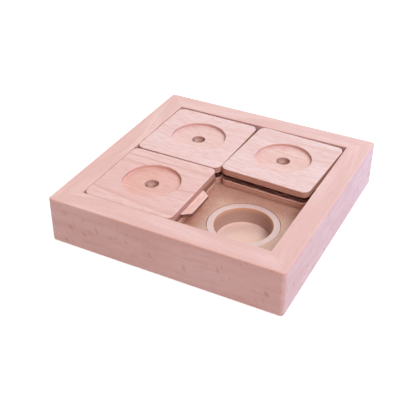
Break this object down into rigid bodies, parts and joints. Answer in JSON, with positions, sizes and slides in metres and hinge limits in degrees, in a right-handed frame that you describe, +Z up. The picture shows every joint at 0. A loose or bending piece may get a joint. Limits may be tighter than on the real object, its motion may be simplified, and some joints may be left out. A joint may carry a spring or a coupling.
{
  "type": "sliding tile treat puzzle for dogs",
  "caption": "Square wooden tray with sliding tongue-and-groove tiles that cover lift-out treat cups; one cell is free so the tiles can be pushed around.",
  "frame": {"origin": "centre of the tray's footprint, on the floor under its pads", "axes": "+X to the right along the front rail, +Y to the back, +Z up; the free cell is at the front right"},
  "size_m": [0.2, 0.2, 0.0404],
  "materials": {
    "rail_beech": "oiled, fine sanded",
    "tile_beech": "oiled, fine sanded",
    "tongue_beech": "planed",
    "dowel_beech": "bare",
    "hardboard": "bare hardboard, smooth side up",
    "panel_board": "bare hardboard",
    "cup_plastic": "moulded, slightly translucent",
    "screw_steel": "zinc plated",
    "pad_rubber": "matt"
  },
  "bodies": {
    "tray": {"front_rail": "rail_beech", "right_rail": "rail_beech", "back_rail": "rail_beech", "left_rail": "rail_beech", "front_guide_strip": "tongue_beech", "left_guide_strip": "tongue_beech", "mitre_dowels": "dowel_beech", "deck": "hardboard", "bottom_panel": "panel_board", "panel_screws": "screw_steel", "foot_pads": "pad_rubber"},
    "front_left_tile": {"front_left_top_plate": "tile_beech", "front_left_core": "tile_beech", "front_left_lower_plate": "tile_beech", "front_left_side_tongue": "tongue_beech", "front_left_back_tongue": "tongue_beech"},
    "back_left_tile": {"back_left_top_plate": "tile_beech", "back_left_core": "tile_beech", "back_left_lower_plate": "tile_beech", "back_left_side_tongue": "tongue_beech", "back_left_back_tongue": "tongue_beech"},
    "back_right_tile": {"back_right_top_plate": "tile_beech", "back_right_core": "tile_beech", "back_right_lower_plate": "tile_beech", "back_right_side_tongue": "tongue_beech", "back_right_back_tongue": "tongue_beech"},
    "front_right_bowl": {"front_right_cup": "cup_plastic"},
    "front_left_bowl": {"front_left_cup": "cup_plastic"},
    "back_left_bowl": {"back_left_cup": "cup_plastic"},
    "back_right_bowl": {"back_right_cup": "cup_plastic"}
  },
  "joints": [
    {"name": "front_left_tile_slide", "type": "slide", "parent": "tray", "child": "front_left_tile", "axis": [1, 0, 0], "range_m": [0, 0.0821]},
    {"name": "back_right_tile_slide", "type": "slide", "parent": "tray", "child": "back_right_tile", "axis": [0, 1, 0], "range_m": [-0.0795, 0]},
    {"name": "back_left_tile_play", "type": "slide", "parent": "tray", "child": "back_left_tile", "axis": [0, 1, 0], "range_m": [-0.00084, 0.0018]},
    {"name": "front_right_cup_lift", "type": "slide", "parent": "tray", "child": "front_right_bowl", "axis": [0, 0, 1], "range_m": [0, 0.04]},
    {"name": "front_left_cup_turn", "type": "hinge", "parent": "tray", "child": "front_left_bowl", "pos_m": [-0.0403, -0.0403, 0.0235], "axis": [0, 0, 1], "continuous": true},
    {"name": "back_left_cup_turn", "type": "hinge", "parent": "tray", "child": "back_left_bowl", "pos_m": [-0.0403, 0.0403, 0.0235], "axis": [0, 0, 1], "continuous": true},
    {"name": "back_right_cup_turn", "type": "hinge", "parent": "tray", "child": "back_right_bowl", "pos_m": [0.0403, 0.0403, 0.0235], "axis": [0, 0, 1], "continuous": true}
  ]
}
